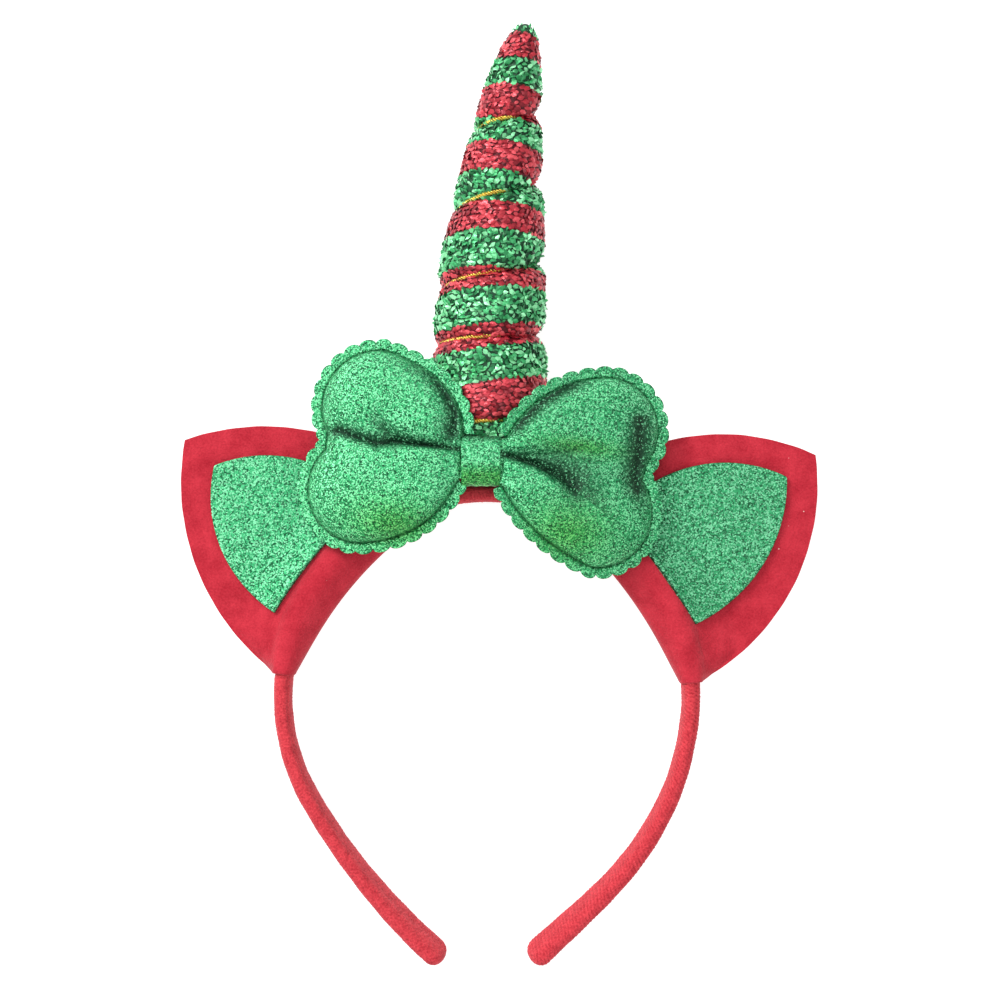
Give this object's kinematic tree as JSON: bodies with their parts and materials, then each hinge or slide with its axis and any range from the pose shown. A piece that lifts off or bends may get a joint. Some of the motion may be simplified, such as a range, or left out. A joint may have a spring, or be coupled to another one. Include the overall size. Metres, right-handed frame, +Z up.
{
  "type": "unicorn horn headband",
  "caption": "Unicorn headband: a padded striped horn wound with gold cord, folded felt ears with glitter leaves and a pinched scalloped bow on a cloth-wound band.",
  "frame": {"origin": "centre of the bounding box in plan, on the floor that the headband lies on", "axes": "+Z up from the floor and out of the headband's front, +Y from the band's tips to the horn's tip, +X to the wearer's left"},
  "size_m": [0.2032, 0.3004, 0.0425],
  "materials": {
    "red_winding": "matt brushed cloth strip, wound",
    "red_felt": "matt felt",
    "green_glitter": "coarse glitter sheet",
    "green_glitter_cloth": "fine glitter cloth over padding",
    "striped_foil": "knit with red and green foil dots in stripes",
    "gold_cord": "twisted metallic thread"
  },
  "bodies": {
    "root": {"headband": "red_winding", "ear_left_felt": "red_felt", "ear_left_leaf": "green_glitter", "ear_right_felt": "red_felt", "ear_right_leaf": "green_glitter", "horn": "striped_foil", "horn_cord": "gold_cord", "bow_pad": "green_glitter_cloth", "bow_knot": "green_glitter_cloth"}
  },
  "joints": []
}
